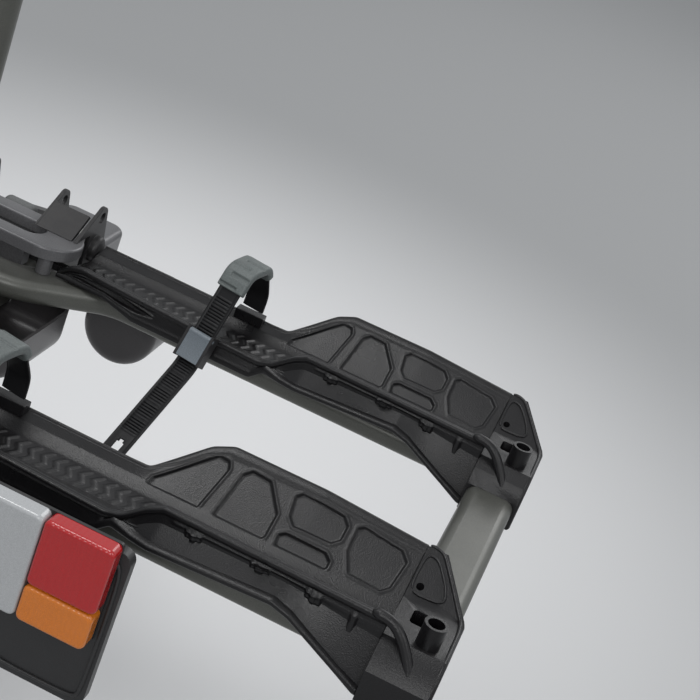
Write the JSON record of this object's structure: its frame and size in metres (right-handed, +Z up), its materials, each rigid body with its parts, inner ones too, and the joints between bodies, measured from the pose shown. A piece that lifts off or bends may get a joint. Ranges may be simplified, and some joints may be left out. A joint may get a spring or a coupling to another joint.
{
  "type": "tow bar bike carrier",
  "caption": "Tow ball platform carrier for bicycles with flat-oval tube frame, moulded wheel trays, ratchet wheel straps, mast with frame arms, tilt hinge and light board.",
  "frame": {"origin": "centre of the tow ball that carries the carrier", "axes": "+X to the right side of the car, +Y forwards to the car, +Z up; standing as on a level car"},
  "size_m": [1.098, 0.741, 0.786],
  "materials": {
    "frame_paint": "satin graphite grey powder coat",
    "tray_plastic": "fine moulded grain",
    "dark_plastic": "moulded cover plastic",
    "black_steel": "black electro-coated steel",
    "cast_alloy": "as-cast, satin",
    "arm_alloy": "satin anodised",
    "zinc_steel": "zinc plated",
    "grip_rubber": "grey soft grip",
    "jaw_rubber": "black soft jaw",
    "pad_rubber": "grey rim pad",
    "strap_plastic": "ladder strap",
    "cap_plastic": "light blue-grey buckle cap",
    "board_plastic": "moulded board",
    "red_lens": "clear-coloured lens",
    "amber_lens": "clear-coloured lens",
    "clear_lens": "milky lens"
  },
  "bodies": {
    "coupling": {"coupler_body": "cast_alloy", "lever_pin": "zinc_steel", "tilt_pin": "zinc_steel"},
    "platform": {"amber_lenses": "amber_lens", "belly_cover": "dark_plastic", "board_stays": "black_steel", "bridge_casting": "cast_alloy", "buckle_frames": "black_steel", "clear_lenses": "clear_lens", "frame_screws": "zinc_steel", "front_cross_tube": "frame_paint", "front_left_corner": "tray_plastic", "front_left_tray": "tray_plastic", "front_right_corner": "tray_plastic", "front_right_tray": "tray_plastic", "head_bracket": "black_steel", "hinge_cheeks": "black_steel", "ladder_straps": "strap_plastic", "lamp_bases": "board_plastic", "latch_pins": "zinc_steel", "left_ear_bracket": "black_steel", "left_round_cover": "dark_plastic", "light_board": "board_plastic", "mast_cap": "tray_plastic", "mast_socket": "cast_alloy", "mast_tube": "frame_paint", "rear_cross_tube": "frame_paint", "rear_left_corner": "tray_plastic", "rear_left_tray": "tray_plastic", "rear_right_corner": "tray_plastic", "rear_right_tray": "tray_plastic", "red_lenses": "red_lens", "right_ear_bracket": "black_steel", "right_round_cover": "dark_plastic", "rim_pads": "pad_rubber", "rod_guides": "black_steel", "side_tube_left": "frame_paint", "side_tube_right": "frame_paint", "spine_beam": "frame_paint", "strap_anchors": "tray_plastic"},
    "lever": {"coupler_lever": "black_steel", "lever_grip": "grip_rubber"},
    "clamp": {"clamp_jaw": "zinc_steel"},
    "lock": {"lock_barrel": "zinc_steel"},
    "latch": {"latch_hook": "black_steel"},
    "rod": {"release_rod": "zinc_steel"},
    "pedal": {"tilt_pedal": "black_steel"},
    "mast_screw": {"mast_knob": "dark_plastic"},
    "front_frame_arm": {"front_arm": "arm_alloy", "front_lower_jaw": "jaw_rubber"},
    "front_clamp": {"front_upper_jaw": "jaw_rubber"},
    "front_screw": {"front_jaw_knob": "dark_plastic"},
    "rear_frame_arm": {"rear_arm": "arm_alloy", "rear_lower_jaw": "jaw_rubber"},
    "rear_clamp": {"rear_upper_jaw": "jaw_rubber"},
    "rear_screw": {"rear_jaw_knob": "dark_plastic"},
    "front_right_buckle": {"front_right_buckle_lever": "cap_plastic"},
    "front_left_buckle": {"front_left_buckle_lever": "cap_plastic"},
    "rear_right_buckle": {"rear_right_buckle_lever": "cap_plastic"},
    "rear_left_buckle": {"rear_left_buckle_lever": "cap_plastic"}
  },
  "joints": [
    {"name": "platform_tilt", "type": "hinge", "parent": "coupling", "child": "platform", "pos_m": [0, -0.095, 0.025], "axis": [1, 0, 0], "range_deg": [0, 35]},
    {"name": "lever_swing", "type": "hinge", "parent": "coupling", "child": "lever", "pos_m": [0, -0.058, 0.05], "axis": [-1, 0, 0], "range_deg": [0, 75]},
    {"name": "clamp_slide", "type": "slide", "parent": "coupling", "child": "clamp", "axis": [0, -1, 0], "range_m": [0, 0.0031]},
    {"name": "lock_turn", "type": "hinge", "parent": "coupling", "child": "lock", "pos_m": [0.038, -0.04, 0.02], "axis": [1, 0, 0], "range_deg": [0, 90]},
    {"name": "pedal_push", "type": "hinge", "parent": "platform", "child": "pedal", "pos_m": [0, -0.587, 0.043], "axis": [1, 0, 0], "range_deg": [0, 15], "stiffness_Nm_per_rad": 6, "springref_deg": -25},
    {"name": "rod_slide", "type": "slide", "parent": "platform", "child": "rod", "axis": [0, 1, 0], "range_m": [0, 0.0077]},
    {"name": "latch_turn", "type": "hinge", "parent": "platform", "child": "latch", "pos_m": [0, -0.14, -0.008], "axis": [-1, 0, 0], "range_deg": [0, 22.6]},
    {"name": "mast_screw_turn", "type": "hinge", "parent": "platform", "child": "mast_screw", "pos_m": [0, -0.37, 0.118], "axis": [0, -1, 0], "range_deg": [0, 360]},
    {"name": "front_arm_turn", "type": "hinge", "parent": "platform", "child": "front_frame_arm", "pos_m": [0, -0.345, 0.64], "axis": [0, 0, 1], "range_deg": [-70, 70]},
    {"name": "front_screw_turn", "type": "hinge", "parent": "front_frame_arm", "child": "front_screw", "pos_m": [0, -0.253, 0.64], "axis": [0, 0, 1], "range_deg": [0, 1080]},
    {"name": "front_jaw_slide", "type": "slide", "parent": "front_frame_arm", "child": "front_clamp", "axis": [0, 0, 1], "range_m": [0, 0.03]},
    {"name": "rear_arm_turn", "type": "hinge", "parent": "platform", "child": "rear_frame_arm", "pos_m": [0, -0.345, 0.56], "axis": [0, 0, 1], "range_deg": [-70, 70]},
    {"name": "rear_screw_turn", "type": "hinge", "parent": "rear_frame_arm", "child": "rear_screw", "pos_m": [0, -0.507, 0.56], "axis": [0, 0, 1], "range_deg": [0, 1080]},
    {"name": "rear_jaw_slide", "type": "slide", "parent": "rear_frame_arm", "child": "rear_clamp", "axis": [0, 0, 1], "range_m": [0, 0.03]},
    {"name": "front_right_buckle_turn", "type": "hinge", "parent": "platform", "child": "front_right_buckle", "pos_m": [0.22973, -0.26538, 0.10217], "axis": [-0.9781, 0.2079, 0], "range_deg": [0, 70]},
    {"name": "front_left_buckle_turn", "type": "hinge", "parent": "platform", "child": "front_left_buckle", "pos_m": [-0.22973, -0.26538, 0.10217], "axis": [-0.9781, -0.2079, 0], "range_deg": [0, 70]},
    {"name": "rear_right_buckle_turn", "type": "hinge", "parent": "platform", "child": "rear_right_buckle", "pos_m": [0.15073, -0.59538, 0.10217], "axis": [-0.9781, 0.2079, 0], "range_deg": [0, 70]},
    {"name": "rear_left_buckle_turn", "type": "hinge", "parent": "platform", "child": "rear_left_buckle", "pos_m": [-0.15073, -0.59538, 0.10217], "axis": [-0.9781, -0.2079, 0], "range_deg": [0, 70]}
  ],
  "couplings": [
    {"joint": "clamp_slide", "follows": "lever_swing", "m_per_rad": 0.0023},
    {"joint": "rod_slide", "follows": "pedal_push", "m_per_rad": 0.029},
    {"joint": "latch_turn", "follows": "pedal_push", "ratio": 1.5},
    {"joint": "front_screw_turn", "follows": "front_jaw_slide", "rad_per_m": 628.32},
    {"joint": "rear_screw_turn", "follows": "rear_jaw_slide", "rad_per_m": 628.32}
  ]
}
